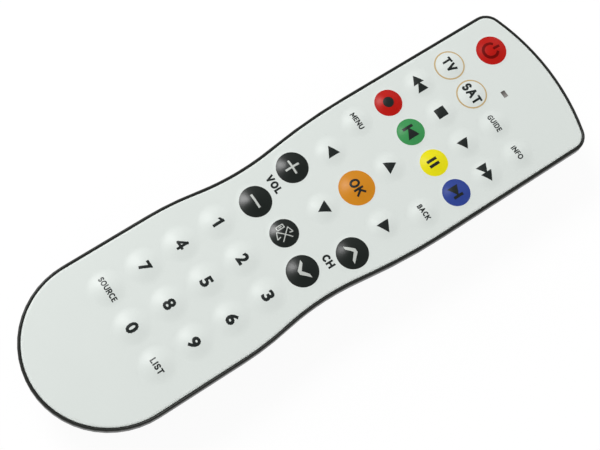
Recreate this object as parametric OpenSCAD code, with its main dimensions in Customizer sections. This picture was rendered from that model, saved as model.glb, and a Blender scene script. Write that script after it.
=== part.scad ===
// Universal remote control: a slim case in two halves, a white silicone keypad skin with
// domed keys, a sliding battery cover, two AAA cells and the circuit board.
// Origin under the middle of the case, Y towards the infrared end, Z up through the keys.

/* [Case outline] */
// Overall length from the tail to the infrared end
body_l = 175; // [170:0.5:182]
// Width across the head
head_w = 49.6; // [48.8:0.2:54]
// Width across the tail
tail_w = 48.8; // [48:0.2:53]
// Width across the waist
waist_w = 44; // [43.8:0.1:46]
// Distance of the waist from the tail end
waist_at = 79.4; // [77:0.2:83]
// Radius of the hollow curve at the waist
waist_r = 80; // [60:1:110]
// Radius of the swell between waist and tail
tail_swell_r = 88; // [60:1:130]
// Radius of the swell between waist and head
head_swell_r = 190; // [140:1:230]
// Radius of the curved infrared end
end_r = 67; // [55:1:85]
// Corner radius at the infrared end
corner_r = 5.4; // [4.4:0.2:7]
// Least corner radius of anything set in from the outline
corner_least = 4; // [3:0.2:4.4]

/* [Case section] */
// Wall thickness of the rear shell
wall = 1.6; // [1.4:0.05:1.8]
// Lean of the side walls in degrees
side_lean = 15; // [13:0.5:17]
// Radius of the rounding under the case
keel_r = 5; // [4.4:0.1:5.6]
// Gap in the seam between shell and frame
seam = 0.25; // [0.15:0.05:0.4]
// Thickness of the frame's plate
plate_t = 1.2; // [1:0.1:1.6]
// Width of the black rim round the keypad
rim_w = 0.9; // [0.8:0.05:1.2]
// Height of the skin above the rim
skin_proud = 0.2; // [0:0.05:0.4]
// Depth of the frame's skirt inside the shell
skirt_h = 1.4; // [1.2:0.1:1.6]
// Thickness of the frame's skirt
skirt_t = 1; // [0.8:0.1:1.2]
// How far the snap lugs reach out of the skirt
lug_out = 0.55; // [0.4:0.05:0.7]
// Length of a snap lug
lug_l = 6; // [4:0.5:8]
// Height of a snap lug
lug_h = 0.7; // [0.5:0.05:0.8]

/* [Keypad] */
// Thickness of the silicone skin
skin_t = 1; // [0.8:0.05:1.3]
// Rounding of the skin's edge
skin_round = 0.6; // [0.4:0.05:0.75]
// Height of a key's dome above the skin
dome_h = 0.85; // [0.7:0.05:1.2]
// Travel of a key
key_travel = 0.85; // [0.6:0.05:1]
// Clearance of a key in the skin
key_gap = 0.15; // [0.1:0.01:0.2]
// Clearance of a key in the frame
hole_gap = 0.3; // [0.2:0.02:0.4]
// Radius of the white function keys
plain_r = 4.1; // [3.6:0.05:4.4]
// Radius of the coloured keys
colour_r = 4.1; // [3.6:0.05:4.4]
// Radius of the number keys
number_r = 4.6; // [4:0.05:4.9]
// Radius of the device keys
mode_r = 4.7; // [4.2:0.05:4.9]
// Radius of the power key
power_r = 4.55; // [4:0.05:4.8]
// Radius of the OK key
ok_r = 5.25; // [4.6:0.05:5.6]
// Radius of the volume and channel keys
rocker_r = 4.65; // [4.1:0.05:4.8]
// Radius of the mute key
mute_r = 4.15; // [3.7:0.05:4.5]
// Radius of the contact pill under a key
pill_r = 2; // [1.5:0.1:2.4]

/* [Key layout] */
// Column pitch of the rows of four
four_pitch = 11; // [10.8:0.05:11.3]
// Row pitch of the rows of four
four_rows = 11.1; // [10.8:0.05:11.3]
// Row of the coloured keys
colour_y = 40.45; // [39.8:0.05:41]
// Power key, to the left
power_x = 13.9; // [13.2:0.1:14.6]
// Power key, along the case
power_y = 76.2; // [75.4:0.1:76.6]
// Indicator light, along the case
light_y = 70.9; // [70:0.1:72]
// Indicator light distance to the left of the middle
light_x = 0.55; // [0:0.05:1]
// OK key, along the case
nav_y = 17.5; // [17:0.1:18]
// Up and down keys from the OK key
nav_pitch = 11.5; // [11.2:0.1:11.8]
// Left and right keys from the OK key
nav_reach = 12.9; // [12.2:0.1:13.4]
// Menu and back keys from the middle
menu_x = 16.3; // [15.6:0.1:16.8]
// Upper volume and channel keys from the middle
rocker_x = 14.9; // [14.2:0.1:15]
// Lower volume and channel keys from the middle
rocker_low_x = 11.85; // [11.2:0.05:12.4]
// Row of the upper volume and channel keys
rocker_y = 5.3; // [4.8:0.1:5.6]
// Distance between upper and lower volume keys
rocker_rows = 14.5; // [14:0.1:15]
// Mute key, along the case
mute_y = -7.5; // [-8:0.1:-7]
// First row of the number keys
number_y = -21.2; // [-21.8:0.1:-20.8]
// Column pitch of the number keys
number_pitch = 12.45; // [11.8:0.05:13]
// Row pitch of the number keys
number_rows = 11.75; // [11:0.05:12.2]

/* [Batteries] */
// Diameter of a AAA cell
cell_d = 10.5; // [10.1:0.1:10.6]
// Length of a AAA cell
cell_l = 44.5; // [43.5:0.1:44.6]
// Play of a cell in its bay
cell_play = 0.4; // [0.3:0.05:0.5]
// Wall of the battery bay
bay_wall = 1.2; // [1:0.1:1.4]
// Length of a contact spring as fitted
spring_l = 4; // [3.8:0.1:4.4]
// Wire of a contact spring
spring_wire = 0.5; // [0.4:0.05:0.5]
// Sheet of the contacts
contact_t = 0.4; // [0.3:0.05:0.5]
// Width and height of a contact's plate
contact_w = 8; // [7:0.2:9]
// Width of a contact's tail
contact_tail_w = 2.8; // [2.2:0.1:3]

/* [Battery cover] */
// Width of the battery cover
cover_w = 26; // [25:0.2:26]
// Height of the cover's upturned tail
cover_rise = 8; // [7:0.2:9]
// Clearance round the cover
cover_gap = 0.2; // [0.15:0.01:0.25]
// Width of the cover's guide tongues
tongue_w = 0.8; // [0.6:0.05:0.85]
// Depth of the shell's lip under the tongues
lip_t = 0.8; // [0.7:0.05:0.9]
// Width of the latch tongue at the cover's head
latch_w = 7.4; // [6:0.2:9]
// Length of the grip grooves
grip_l = 16; // [12:0.5:20]
// Spacing of the grip grooves
grip_pitch = 2.2; // [1.8:0.1:2.6]
// Radius of a grip groove
grip_r = 0.8; // [0.6:0.05:1]
// Depth of a grip groove
grip_depth = 0.4; // [0.3:0.05:0.5]
// Width of the arrow that shows which way the cover slides
arrow_w = 8; // [6:0.5:10]
// Length of the arrow
arrow_l = 6.5; // [5:0.5:8]
// Depth of the arrow
arrow_depth = 0.35; // [0.25:0.05:0.45]

/* [Electronics] */
// Thickness of the circuit board
board_t = 1.2; // [1:0.1:1.6]
// Space between board and frame
board_gap = 0.6; // [0.55:0.05:0.9]
// Width of the infrared window
window_w = 18; // [14:0.5:22]
// Height of the infrared window
window_h = 5.5; // [5:0.1:6]
// Lower edge of the infrared window
window_z = 7; // [6.6:0.1:7.4]
// Diameter of the infrared emitter
emitter_d = 5; // [4.6:0.1:5.2]
// Spacing of the emitter's and the transistor's legs
leg_pitch = 1.27; // [1.2:0.01:1.3]
// Length of the controller chip
controller_l = 18; // [15:0.5:20]
// Width of the controller chip
controller_w = 7.5; // [6:0.1:8]
// Height of the controller chip
controller_h = 2.3; // [1.8:0.1:2.5]
// Length of the memory chip
memory_l = 5; // [4.5:0.1:6]
// Width of the memory chip
memory_w = 3.9; // [3.6:0.1:4.4]
// Height of the memory chip
memory_h = 1.5; // [1.2:0.1:1.8]
// Spacing of a chip's leads
lead_pitch = 1.27; // [1.2:0.01:1.3]
// Width of a chip's lead
lead_w = 0.42; // [0.35:0.01:0.5]
// Distance between the crystal's round ends
crystal_l = 6.4; // [5.6:0.1:7]
// Radius of the crystal's round ends
crystal_r = 2.2; // [1.9:0.1:2.3]
// Height of the crystal
crystal_h = 3.6; // [3:0.1:4]
// Radius of the capacitor
capacitor_r = 3.15; // [2.5:0.05:3.2]
// Height of the capacitor
capacitor_h = 7.4; // [5:0.1:7.5]
// Radius of the transistor
transistor_r = 2.3; // [2:0.05:2.4]
// Height of the transistor's body
transistor_h = 4.6; // [4:0.1:5]
// Length of a chip resistor
resistor_l = 2; // [1.6:0.1:2.4]
// Width of a chip resistor
resistor_w = 1.24; // [1:0.02:1.4]

/* [Screws] */
// Radius of a screw's shank
screw_r = 1.1; // [0.9:0.05:1.2]
// Radius of a screw's head
screw_head_r = 2.2; // [2:0.05:2.3]
// Radius of the screw bosses
boss_r = 3; // [2.9:0.05:3.2]
// Radius of the frame's screw posts
post_r = 2.2; // [1.9:0.05:2.4]
// Radius of the posts under the board
stand_r = 2; // [1.6:0.1:2.4]
// Radius of the studs that press on the board
stud_r = 1; // [0.8:0.05:1.2]

/* [Hidden] */
$fn = 48;
BLACK = [0.07, 0.08, 0.08];
WHITE = [0.86, 0.88, 0.87];
RED = [0.77, 0.06, 0.03];
GREEN = [0.17, 0.6, 0.28];
YELLOW = [0.91, 0.87, 0.11];
BLUE = [0.13, 0.2, 0.59];
ORANGE = [0.89, 0.53, 0.1];
STEEL = [0.72, 0.73, 0.74];

// Heights, stacked from the floor of the case
cell_z = wall + cell_play + cell_d / 2;
bay_top = cell_z + cell_d / 2 + cell_play;
board_z = bay_top + bay_wall;
board_top = board_z + board_t;
plate_z = board_top + board_gap;
seat_z = plate_z + plate_t;
skin_top = seat_z + skin_t;
rim_top = skin_top - skin_proud;
shell_top = plate_z - seam;
rest_gap = 0.05;
pill_t = 0.3;
key_z = board_top + key_travel + rest_gap;
skirt_z = plate_z - skirt_h;

// Insets from the outline of the case
slide_fit = 0.15;
keel_in = keel_r * cos(side_lean) + (shell_top - keel_r * (1 - sin(side_lean))) * tan(side_lean);
skirt_in = wall / cos(side_lean) + (shell_top - skirt_z) * tan(side_lean) + slide_fit;
board_in = skirt_in + skirt_t + 2 * slide_fit;
skin_fit = 0.05;
skin_in = rim_w + skin_fit;
plunger_in = 1;

// Positions along the case
tail_y = -body_l / 2;
screw_y = (mute_y + number_y) / 2;
weld = 0.4;
bay_head = screw_y - boss_r - bay_wall + weld;
dimple = 0.5;
dimple_r = 1.6;
touch = 0.03;
bay_l = cell_l + spring_l + 2 * contact_t + dimple + 3 * touch;
bay_tail = bay_head - bay_l;
tail_screw_y = bay_tail - bay_wall - boss_r + weld;
cell_x = (cell_d + cell_play) / 2;
bay_half = cell_x + cell_d / 2 + cell_play;
cover_y = screw_y + boss_r + 3.4;
liner_t = wall + cover_gap + bay_wall;
post_z = 9;
head_z = 5;
head_h = 1.6;
tip_h = 1;
screw_l = 8.4;
head_gap = 0.2;
window_reach = 7;
latch_gap = 0.3;
grip_y = cover_y - 7;
grip_count = 6;
arrow_y = cover_y - 22;

// Places across and along the case of what the case and the board carry
lug_places = [42, 66];
stand_x = 14;
stand_places = [10, 64];
controller_at = [0, 40];
memory_at = [11, 24];
crystal_at = [-11, 26];
capacitor_at = [-8, 2];
transistor_at = [9, 58];
resistors_at = [-10, 56];
resistor_step = [3.5, 3];

// One row per key: name, x, y, radius, colour
KEYS = concat(
    [["power", -power_x, power_y, power_r, RED]],
    row_of_four(["tv", "sat", "guide", "info"], 2, [mode_r, mode_r, plain_r, plain_r],
        [WHITE, WHITE, WHITE, WHITE]),
    row_of_four(["rewind", "stop", "play", "forward"], 1, [plain_r, plain_r, plain_r, plain_r],
        [WHITE, WHITE, WHITE, WHITE]),
    row_of_four(["record", "previous", "pause", "next"], 0, [colour_r, colour_r, colour_r, colour_r],
        [RED, GREEN, YELLOW, BLUE]),
    [["menu", -menu_x, nav_y + nav_pitch, plain_r, WHITE],
     ["up", 0, nav_y + nav_pitch, plain_r, WHITE],
     ["back", menu_x, nav_y + nav_pitch, plain_r, WHITE],
     ["left", -nav_reach, nav_y, plain_r, WHITE],
     ["ok", 0, nav_y, ok_r, ORANGE],
     ["right", nav_reach, nav_y, plain_r, WHITE],
     ["down", 0, nav_y - nav_pitch, plain_r, WHITE],
     ["volume_up", -rocker_x, rocker_y, rocker_r, BLACK],
     ["volume_down", -rocker_low_x, rocker_y - rocker_rows, rocker_r, BLACK],
     ["mute", 0, mute_y, mute_r, BLACK],
     ["channel_up", rocker_x, rocker_y, rocker_r, BLACK],
     ["channel_down", rocker_low_x, rocker_y - rocker_rows, rocker_r, BLACK]],
    row_of_three(["1", "2", "3"], 0),
    row_of_three(["4", "5", "6"], 1),
    row_of_three(["7", "8", "9"], 2),
    row_of_three(["source", "0", "list"], 3)
);

function key_node(k) = str("key_", k[0]);

function row_of_four(names, row, radii, colours) = [
    for (i = [0:3])
        [names[i], (i - 1.5) * four_pitch, colour_y + row * four_rows, radii[i], colours[i]]
];

function row_of_three(names, row) = [
    for (i = [0:2])
        [names[i], (i - 1) * number_pitch, number_y - row * number_rows, number_r, WHITE]
];

function reversed(list) = [for (i = [len(list) - 1:-1:0]) list[i]];

function arc(centre, r, from, to, steps) = [
    for (i = [0:steps])
        let (a = from + (to - from) * i / steps)
        [centre[0] + r * cos(a), centre[1] + r * sin(a)]
];

// Arc beside the case, bulging outwards where bulge is 1 and inwards where it is -1
function side_arc(centre, r, bulge, from, to, steps) = [
    for (p = arc([0, 0], r, from, to, steps)) [centre[0] + bulge * p[0], centre[1] + p[1]]
];

// Right half of the case outline moved inwards, from the tail to the middle of the far end
function half_outline(inset) =
    let (tail = tail_w / 2, waist = waist_w / 2, head = head_w / 2)
    let (low = tail < waist ? -1 : 1, high = head < waist ? -1 : 1)
    let (waist_y = tail_y + waist_at)
    let (low_sum = waist_r + tail_swell_r, high_sum = waist_r + head_swell_r)
    let (low_lean = acos(1 - abs(tail - waist) / low_sum))
    let (high_lean = acos(1 - abs(head - waist) / high_sum))
    let (low_c = [tail - low * tail_swell_r, waist_y - low_sum * sin(low_lean)])
    let (high_c = [head - high * head_swell_r, waist_y + high_sum * sin(high_lean)])
    let (low_waist = [waist + low * waist_r, waist_y], high_waist = [waist + high * waist_r, waist_y])
    let (corner = max(corner_r - inset, corner_least), end_y = body_l / 2 - end_r)
    let (corner_x = head - inset - corner)
    let (corner_y = end_y + sqrt(pow(end_r - inset - corner, 2) - corner_x * corner_x))
    let (corner_a = atan2(corner_y - end_y, corner_x))
    concat(
        arc([0, tail_y + tail], tail - inset, -90, 0, 13),
        side_arc(low_c, tail_swell_r - low * inset, low, 0, low_lean, 3),
        side_arc(low_waist, waist_r + low * inset, -low, -low_lean * 2 / 3, 0, 3),
        side_arc(high_waist, waist_r + high * inset, -high, high_lean / 3, high_lean, 2),
        side_arc(high_c, head_swell_r - high * inset, high, -high_lean * 2 / 3, 0, 2),
        arc([corner_x, corner_y], corner, 0, corner_a, 6),
        [for (i = [1:6])
            let (a = corner_a + (90 - corner_a) * i / 6)
            [(end_r - inset) * cos(a), end_y + (end_r - inset) * sin(a)]]
    );

// Whole outline, counter-clockwise from the tail
function outline(inset) =
    let (right = half_outline(inset), last = len(right) - 1)
    concat(right, [for (i = [last - 1:-1:1]) [-right[i][0], right[i][1]]]);

// Side of the shell as inset and height, from the floor to the seam, moved inwards by t
function side_line(t) = concat(
    [for (i = [0:4])
        let (a = 90 - i * (90 - side_lean) / 4)
        [keel_in - (keel_r - t) * cos(a), keel_r - (keel_r - t) * sin(a)]],
    [[t / cos(side_lean), shell_top]]
);

// Straight upper stretch of that side, from the seam down where turned is true
function upper_side(t, turned) =
    let (side = side_line(t), last = len(side) - 1)
    turned ? [side[last], side[last - 1]] : [side[last - 1], side[last]];

// Solid through a list of outlines, each given as inset and height
module loft(levels) {
    rings = [for (l = levels) [for (p = outline(l[0])) [p[0], p[1], l[1]]]];
    n = len(rings[0]);
    m = len(rings);
    sides = [for (k = [0:m - 2]) for (i = [0:n - 1])
        let (a = k * n + i, b = k * n + (i + 1) % n)
        each [[a, a + n, b + n], [a, b + n, b]]];
    first_cap = [for (i = [0:n - 1]) i];
    last_cap = [for (i = [n - 1:-1:0]) (m - 1) * n + i];
    polyhedron([for (r = rings) each r], concat([first_cap], sides, [last_cap]));
}

// Inside of the shell, moved inwards by t
module shell_blank(t) {
    loft(side_line(t));
}

// Layer of the shell between two depths
module shell_layer(outer, inner) {
    loft(concat(side_line(outer), reversed(side_line(inner))));
}

// Box from its two corners
module box(low, high) {
    translate(low)
        cube([high[0] - low[0], high[1] - low[1], high[2] - low[2]]);
}

module rod(x, y, z0, z1, r) {
    translate([x, y, z0])
        cylinder(r = r, h = z1 - z0);
}

// Way of the battery cover, open at the tail, shrunk by gap
module cover_way(gap) {
    half = cover_w / 2 - gap;
    box([-half, tail_y - 1, -1], [half, cover_y - gap, cover_rise - gap]);
}

module cover_space() {
    difference() {
        union() {
            cover_way(0);
            box([-cover_w / 2 - tongue_w, tail_y - 1, lip_t],
                [cover_w / 2 + tongue_w, cover_y - 2, wall + cover_gap]);
            box([-latch_w / 2 - latch_gap, cover_y - 3, lip_t],
                [latch_w / 2 + latch_gap, cover_y + tongue_w, wall + cover_gap]);
        }
        shell_blank(wall + cover_gap);
    }
}

// Bay, ribs, bosses and board posts before they are cut to the inside of the shell
module inner_walls() {
    low = wall / 2;
    box([-bay_half - bay_wall, bay_tail - bay_wall, low],
        [bay_half + bay_wall, bay_head + bay_wall, board_z]);
    for (y = [bay_tail - bay_wall, (bay_tail + bay_head) / 2, bay_head])
        box([-head_w, y, low], [head_w, y + bay_wall, cell_z + 3]);
    for (y = [tail_screw_y, screw_y])
        rod(0, y, low, post_z, boss_r);
    for (x = [-stand_x, stand_x], y = stand_places)
        rod(x, y, low, board_z, stand_r);
}

module rear_shell() {
    rib = 2.3;
    slot_half = contact_tail_w / 2 + latch_gap;
    slot_l = contact_t + 0.6;
    color(BLACK)
    difference() {
        union() {
            shell_layer(0, wall);
            intersection() {
                shell_layer(wall - 0.3, liner_t);
                box([-cover_w / 2 - rib, tail_y - 1, 0],
                    [cover_w / 2 + rib, cover_y + rib, cover_rise + rib]);
            }
            intersection() {
                shell_blank(wall / 2);
                inner_walls();
            }
        }
        cover_space();
        box([-bay_half, bay_tail, wall / 2], [bay_half, bay_head, bay_top]);
        for (x = [-cell_x, cell_x])
            box([x - slot_half, bay_head - slot_l, bay_top - 1], [x + slot_half, bay_head, board_z + 1]);
        for (y = [tail_screw_y, screw_y]) {
            rod(0, y, -1, head_z, screw_head_r + head_gap);
            rod(0, y, 0, post_z + 1, screw_r + slide_fit);
        }
        window_block(0);
        for (side = [-1, 1], y = lug_places)
            lug(side, y, slide_fit);
    }
}

// Space of the infrared window in the head wall, shrunk by fit
module window_block(fit) {
    half = window_w / 2 - fit;
    box([-half, body_l / 2 - window_reach, window_z + fit],
        [half, body_l / 2 + 1, window_z + window_h - fit]);
}

// Snap lug on the side of the frame's skirt, grown by gap for its pocket
module lug(side, y, gap) {
    face = head_w / 2 - skirt_in;
    half = lug_l / 2 + gap;
    mirror([side < 0 ? 1 : 0, 0, 0])
        box([face - skirt_t / 2, y - half, skirt_z - gap],
            [face + lug_out + gap, y + half, skirt_z + lug_h + gap]);
}

module front_frame() {
    half = rim_w / 2;
    bead = [for (i = [0:8])
        let (a = 180 - i * 22.5)
        [half + half * cos(a), rim_top - half + half * sin(a)]];
    color(BLACK)
    difference() {
        union() {
            loft(concat([[0, plate_z]], bead, [[rim_w, seat_z]]));
            translate([0, 0, skirt_z])
                linear_extrude(skirt_h + plate_t / 2)
                difference() {
                    polygon(outline(skirt_in));
                    polygon(outline(skirt_in + skirt_t));
                }
            for (side = [-1, 1], y = lug_places)
                lug(side, y, 0);
            for (y = [tail_screw_y, screw_y])
                rod(0, y, post_z, plate_z + plate_t / 2, post_r);
            for (x = [-four_pitch, four_pitch])
                rod(x, colour_y + 1.5 * four_rows, board_top, plate_z + plate_t / 2, stud_r);
            for (x = [-number_pitch / 2, number_pitch / 2], row = [0.5, 2.5])
                rod(x, number_y - row * number_rows, board_top, plate_z + plate_t / 2, stud_r);
        }
        for (k = KEYS)
            rod(k[1], k[2], plate_z - 0.3, seat_z + 2, k[3] + hole_gap);
        for (y = [tail_screw_y, screw_y])
            rod(0, y, post_z - 1, head_z + screw_l + 0.6, screw_r + rest_gap);
        pipe_shape(0.1);
    }
}

module keypad_skin() {
    edge = [for (i = [0:5])
        let (a = 180 - i * 18)
        [skin_in + skin_round * (1 + cos(a)), skin_top - skin_round * (1 - sin(a))]];
    color(WHITE)
    difference() {
        loft(concat([[skin_in, seat_z]], edge));
        for (k = KEYS)
            rod(k[1], k[2], seat_z - 1, skin_top + 1, k[3] + key_gap);
        pipe_shape(0.05);
    }
}

// Domed key with its plunger and contact pill
module key(k) {
    r = k[3];
    dome = [for (i = [8:-1:0])
        let (u = i / 8)
        [r * u, skin_top + dome_h * pow(1 - u * u, 1.5)]];
    below = [[0, key_z], [pill_r, key_z], [pill_r, key_z + pill_t],
             [r - plunger_in, key_z + pill_t], [r - plunger_in, seat_z], [r, seat_z]];
    color(k[4])
    translate([k[1], k[2], 0])
    rotate_extrude()
        polygon(concat(below, dome));
}

module battery_cover() {
    half = cover_w / 2 + tongue_w - cover_gap;
    low = lip_t + cover_gap / 2;
    color(BLACK)
    difference() {
        union() {
            intersection() {
                shell_layer(0, wall);
                cover_way(cover_gap);
            }
            for (side = [-1, 1])
                mirror([side < 0 ? 1 : 0, 0, 0])
                    box([cover_w / 2 - 2, bay_tail, low], [half, cover_y - 4, wall]);
            box([-latch_w / 2, cover_y - 2, low], [latch_w / 2, cover_y + tongue_w - cover_gap, wall]);
        }
        for (i = [0:grip_count - 1])
            translate([-grip_l / 2, grip_y - grip_pitch * i, grip_depth - grip_r])
                rotate([0, 90, 0])
                cylinder(r = grip_r, h = grip_l);
        translate([0, arrow_y, -1])
            linear_extrude(1 + arrow_depth)
            polygon([[-arrow_w / 2, 0], [arrow_w / 2, 0], [0, -arrow_l]]);
    }
}

module infrared_window() {
    fit = 0.04;
    color([0.12, 0.03, 0.05])
    intersection() {
        loft([for (t = [0, wall]) each upper_side(t, t > 0)]);
        window_block(fit);
    }
}

// Indicator light pipe: wide foot in the frame, narrow tip in the skin
module pipe_shape(gap) {
    for (s = [[2.4, 1.6, seat_z], [2, 1.3, skin_top]])
        box([-light_x - s[0] / 2 - gap, light_y - s[1] / 2 - gap, plate_z + 0.1 - gap],
            [-light_x + s[0] / 2 + gap, light_y + s[1] / 2 + gap, s[2] + (gap > 0 ? 2 * gap : 0)]);
}

module light_pipe() {
    color([0.3, 0.12, 0.12])
        pipe_shape(0);
}

module indicator_light() {
    color([0.9, 0.88, 0.8])
        box([-light_x - 1, light_y - 0.62, board_top], [-light_x + 1, light_y + 0.62, board_top + 0.5]);
}

module circuit_board() {
    color([0.1, 0.36, 0.2])
    translate([0, 0, board_z])
    linear_extrude(board_t)
    difference() {
        polygon(outline(board_in));
        for (y = [tail_screw_y, screw_y])
            translate([0, y])
                circle(post_r + 0.3);
        for (x = [-cell_x, cell_x])
            translate([x - contact_tail_w / 2 - head_gap, bay_head - contact_t - 0.5])
                square([contact_tail_w + 2 * head_gap, contact_t + 0.5]);
        for (x = [-leg_pitch, leg_pitch])
            translate([x, emitter_leg_y()])
                circle(leg_r + head_gap);
    }
}

// Gull-wing lead of a chip, rising from the board towards the body
module lead(foot, rise) {
    t = 0.2;
    rotate([90, 0, 0])
    linear_extrude(lead_w, center = true)
        polygon([[0, 0], [foot, 0], [foot, -rise], [foot + 0.7, -rise], [foot + 0.7, -rise - t],
                 [foot - t, -rise - t], [foot - t, -t], [0, -t]]);
}

// Chip under the board, given by centre, length, width and height, with leads along both sides
module chip(centre, l, w, h) {
    foot = 0.8;
    reach = 1.2;
    leads = floor((l - lead_w) / lead_pitch) + 1;
    translate([centre[0], centre[1], board_z]) {
        box([-w / 2, -l / 2, -h], [w / 2, l / 2, -0.1]);
        for (side = [0, 180], i = [0:leads - 1])
            rotate(side)
            translate([-w / 2 - reach, (i - (leads - 1) / 2) * lead_pitch, 0])
                lead(foot, h / 2);
    }
}

module controller_chip() {
    color([0.16, 0.16, 0.17])
        chip(controller_at, controller_l, controller_w, controller_h);
}

module memory_chip() {
    color([0.16, 0.16, 0.17])
        chip(memory_at, memory_l, memory_w, memory_h);
}

module crystal() {
    color(STEEL)
    translate([crystal_at[0], crystal_at[1], board_z]) {
        crystal_slice(crystal_r, crystal_h);
        crystal_slice(crystal_r + 0.4, 0.4);
    }
}

// Slice of the crystal's can, hanging from the board
module crystal_slice(r, h) {
    half = crystal_l / 2;
    translate([0, 0, -h])
        linear_extrude(h)
        polygon(concat(arc([0, half], r, 0, 180, 12), arc([0, -half], r, 180, 360, 12)));
}

module capacitor() {
    r = capacitor_r;
    bevel = 0.4;
    neck = 0.25;
    color([0.1, 0.12, 0.3])
    translate([capacitor_at[0], capacitor_at[1], board_z])
    rotate_extrude()
        polygon([[0, 0], [r - bevel, 0], [r, -bevel], [r, -1], [r - neck, -1 - neck], [r, -1 - 2 * neck],
                 [r, bevel - capacitor_h], [r - bevel, -capacitor_h], [0, -capacitor_h]]);
}

module transistor() {
    leg = 1.6;
    flat = 1.3;
    half = 0.23;
    color([0.13, 0.13, 0.14])
    translate([transistor_at[0], transistor_at[1], board_z]) {
        intersection() {
            rod(0, 0, -leg - transistor_h, -leg, transistor_r);
            box([-transistor_r - 1, -flat, -leg - transistor_h - 1], [transistor_r + 1, transistor_r + 1, 0]);
        }
        for (x = [-leg_pitch, 0, leg_pitch])
            box([x - half, -half, -leg - 0.4], [x + half, half, 0]);
    }
}

module chip_resistors() {
    color([0.2, 0.2, 0.22])
    for (i = [0:3], j = [0, 1])
        translate([resistors_at[0] + j * resistor_step[0], resistors_at[1] + i * resistor_step[1], board_z])
            box([-resistor_l / 2, -resistor_w / 2, -0.55], [resistor_l / 2, resistor_w / 2, 0]);
}

emitter_back = 12.4;
emitter_l = 5.4;
flange = 0.4;
leg_r = 0.25;
leg_back = 2;
function emitter_base_y() = body_l / 2 - emitter_back;

function emitter_leg_y() = emitter_base_y() - leg_back;

module infrared_emitter() {
    r = emitter_d / 2;
    z = window_z + window_h / 2;
    color([0.25, 0.28, 0.42]) {
        translate([0, emitter_base_y(), z])
            rotate([-90, 0, 0])
            rotate_extrude()
            polygon(concat([[0, 0], [r + flange, 0], [r + flange, 1], [r, 1]],
                arc([0, emitter_l], r, 0, 90, 6)));
        for (x = [-leg_pitch, leg_pitch]) {
            translate([x, emitter_leg_y(), z])
                rotate([-90, 0, 0])
                cylinder(r = leg_r, h = leg_back + 0.5, $fn = 16);
            translate([x, emitter_leg_y(), z - leg_r])
                cylinder(r = leg_r, h = board_top - z + 2 * leg_r, $fn = 16);
        }
    }
}

// Contact spring: a cone of wire along Z, starting in its plate
coil_turns = 3.5;
coil_steps = 22;
coil_start = -0.1;
coil_end = spring_l - spring_wire / 2 - touch;
coil_count = coil_turns * coil_steps;
function coil_r(t) = cell_d / 2 - 1.2 - 1.3 * t;
function coil_point(i) =
    let (t = i / coil_count, a = 360 * i / coil_steps)
    [coil_r(t) * cos(a), coil_r(t) * sin(a), coil_start + (coil_end - coil_start) * t];
coil_gap = min([for (i = [0:coil_count - coil_steps]) for (j = [i + coil_steps / 2:coil_count])
    norm(coil_point(i) - coil_point(j))]) - spring_wire;
echo(coil_gap = coil_gap);

module coil() {
    n = 8;
    rings = [for (i = [0:coil_count])
        let (p = coil_point(i), a = 360 * i / coil_steps)
        [for (s = [0:n - 1])
            let (b = 360 * s / n, out = spring_wire / 2 * cos(b))
            [p[0] + out * cos(a), p[1] + out * sin(a), p[2] + spring_wire / 2 * sin(b)]]];
    sides = [for (k = [0:coil_count - 1]) for (s = [0:n - 1])
        let (a = k * n + s, b = k * n + (s + 1) % n)
        each [[a, b, b + n], [a, b + n, a + n]]];
    caps = [[for (s = [n - 1:-1:0]) s], [for (s = [0:n - 1]) coil_count * n + s]];
    polyhedron([for (r = rings) each r], concat(sides, caps));
}

// Plate against the head wall of the bay, with a tail through the board
module contact_plate(x) {
    y = bay_head - touch;
    half = contact_w / 2;
    tail = contact_tail_w / 2;
    box([x - half, y - contact_t, cell_z - half], [x + half, y, cell_z + half]);
    box([x - tail, y - contact_t, cell_z + half - 1], [x + tail, y, board_top + contact_t]);
}

module positive_contact() {
    color(STEEL) {
        contact_plate(-cell_x);
        translate([-cell_x, bay_head - touch - contact_t - dimple, cell_z])
            rotate([-90, 0, 0])
            cylinder(r1 = dimple_r, r2 = dimple_r + 0.8, h = dimple + 0.1);
    }
}

module negative_contact() {
    color(STEEL) {
        contact_plate(cell_x);
        translate([cell_x, bay_head - touch - contact_t, cell_z])
            rotate([90, 0, 0])
            coil();
    }
}

module bridge_contact() {
    y = bay_tail + touch;
    half = contact_w / 2;
    color(STEEL) {
        box([-cell_x - half, y, cell_z - half], [cell_x + half, y + contact_t, cell_z + half]);
        translate([-cell_x, y + contact_t, cell_z])
            rotate([-90, 0, 0])
            coil();
        translate([cell_x, y + contact_t - 0.1, cell_z])
            rotate([-90, 0, 0])
            cylinder(r1 = dimple_r + 0.8, r2 = dimple_r, h = dimple + 0.1);
    }
}

// Cell standing on its flat end
module cell() {
    r = cell_d / 2;
    button_r = 1.9;
    shoulder = cell_l - 2;
    rotate_extrude()
        polygon([[0, 0.15], [3.2, 0.15], [3.5, 0], [r - 0.5, 0], [r, 0.5], [r, shoulder],
                 [r - 0.6, shoulder + 0.6], [button_r + 0.7, shoulder + 0.8], [button_r, shoulder + 1],
                 [button_r, cell_l], [0, cell_l]]);
}

module cell_left() {
    color([0.32, 0.42, 0.35])
    translate([-cell_x, bay_head - 2 * touch - contact_t - dimple - cell_l, cell_z])
        rotate([-90, 0, 0])
        cell();
}

module cell_right() {
    color([0.32, 0.42, 0.35])
    translate([cell_x, bay_tail + 2 * touch + contact_t + dimple + cell_l, cell_z])
        rotate([90, 0, 0])
        cell();
}

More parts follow.
